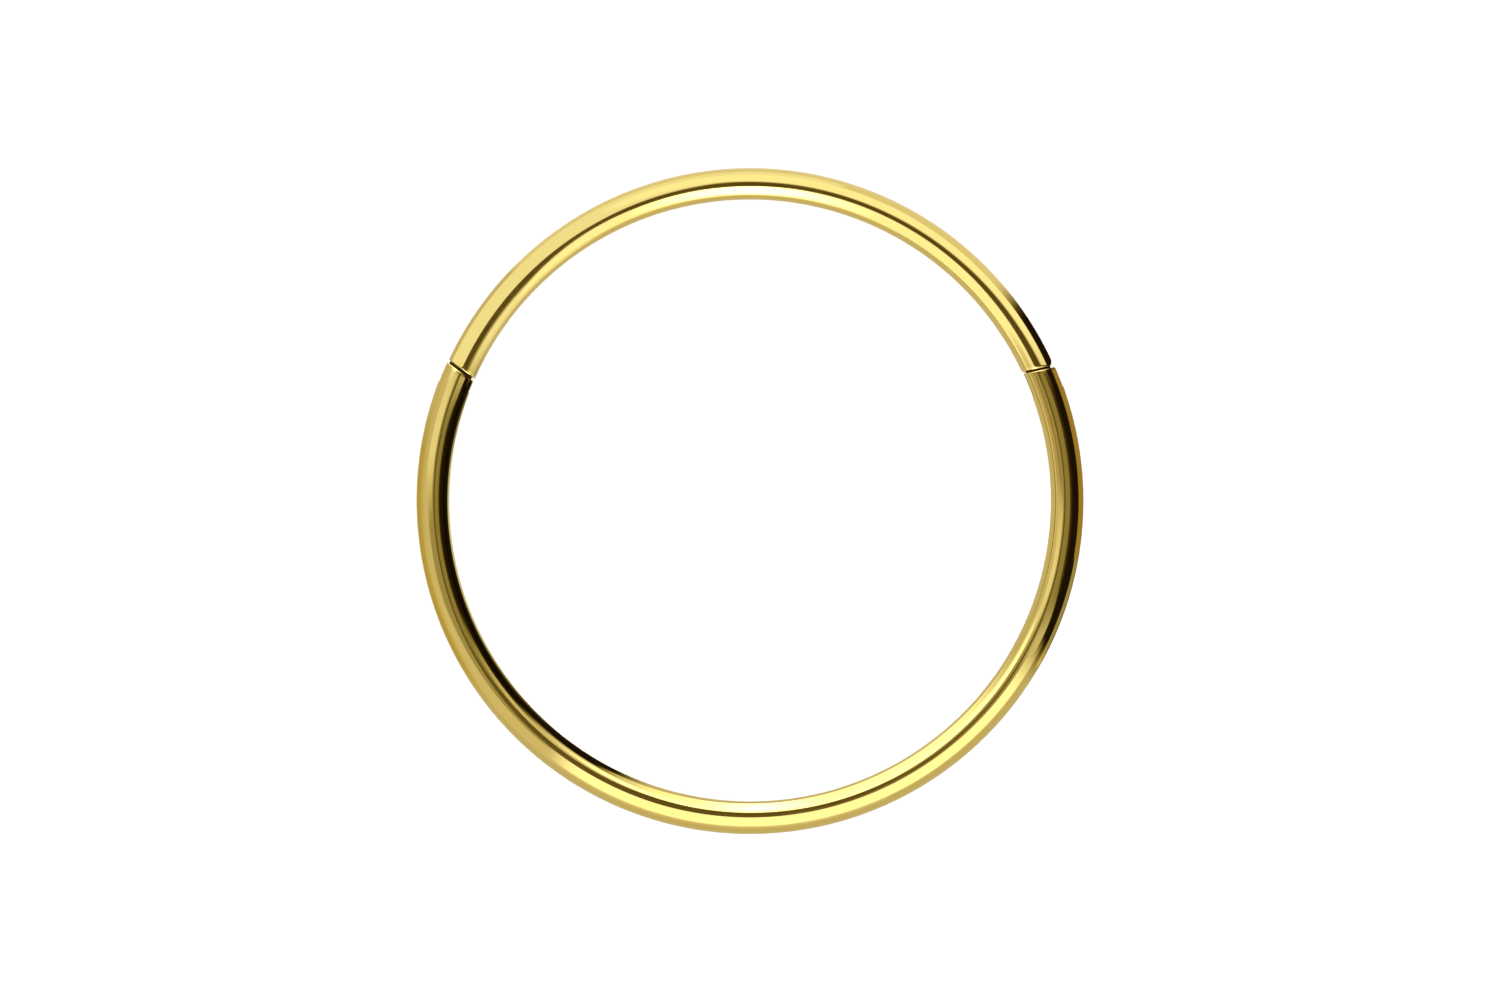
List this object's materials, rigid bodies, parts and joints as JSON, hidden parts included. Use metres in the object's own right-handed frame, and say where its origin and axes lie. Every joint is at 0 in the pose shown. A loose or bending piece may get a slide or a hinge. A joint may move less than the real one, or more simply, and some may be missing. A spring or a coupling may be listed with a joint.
{
  "type": "clicker ring",
  "caption": "Closed round-wire segment ring for a piercing, with an arc that swings out on a hinge pin and clicks shut on a tongue and slot.",
  "frame": {"origin": "centre of the ring, on the plane that it lies on", "axes": "+Z out of the ring's front face, +X towards the hinge side, +Y towards the middle of the hinged segment"},
  "size_m": [0.0244, 0.0244, 0.0012],
  "materials": {
    "gold_coated_steel": "mirror polished surgical steel with a gold-coloured vapour coating"
  },
  "bodies": {
    "ring": {"ring_body": "gold_coated_steel", "hinge_pin": "gold_coated_steel"},
    "segment": {"hinged_segment": "gold_coated_steel"}
  },
  "joints": [
    {"name": "hinge_swing", "type": "hinge", "parent": "ring", "child": "segment", "pos_m": [0.01107, 0.00438, 0.0006], "axis": [0, 0, -1], "range_deg": [0, 100]}
  ]
}
